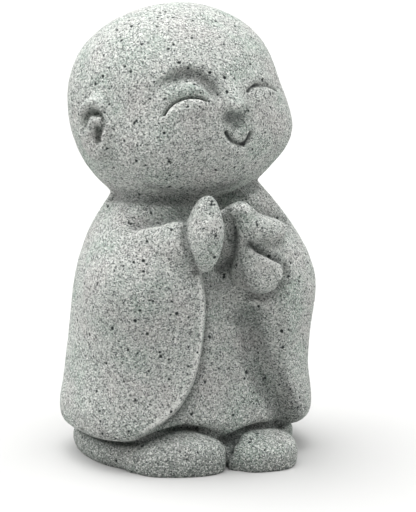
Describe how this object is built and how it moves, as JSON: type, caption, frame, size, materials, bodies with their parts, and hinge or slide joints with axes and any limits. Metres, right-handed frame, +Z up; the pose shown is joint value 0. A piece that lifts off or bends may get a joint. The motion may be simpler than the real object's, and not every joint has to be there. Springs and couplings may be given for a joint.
{
  "type": "stone monk statue",
  "caption": "Small cast stone figure of a standing monk: a round smiling head on a long sleeved robe, with both hands raised before the chest.",
  "frame": {"origin": "centre of the flat underside, on the surface that the figure stands on", "axes": "+Z up, the figure faces -Y, its own right hand is at -X"},
  "size_m": [0.0508, 0.049, 0.0895],
  "materials": {
    "stone": "matte"
  },
  "bodies": {
    "root": {"monk_statue": "stone"}
  },
  "joints": []
}
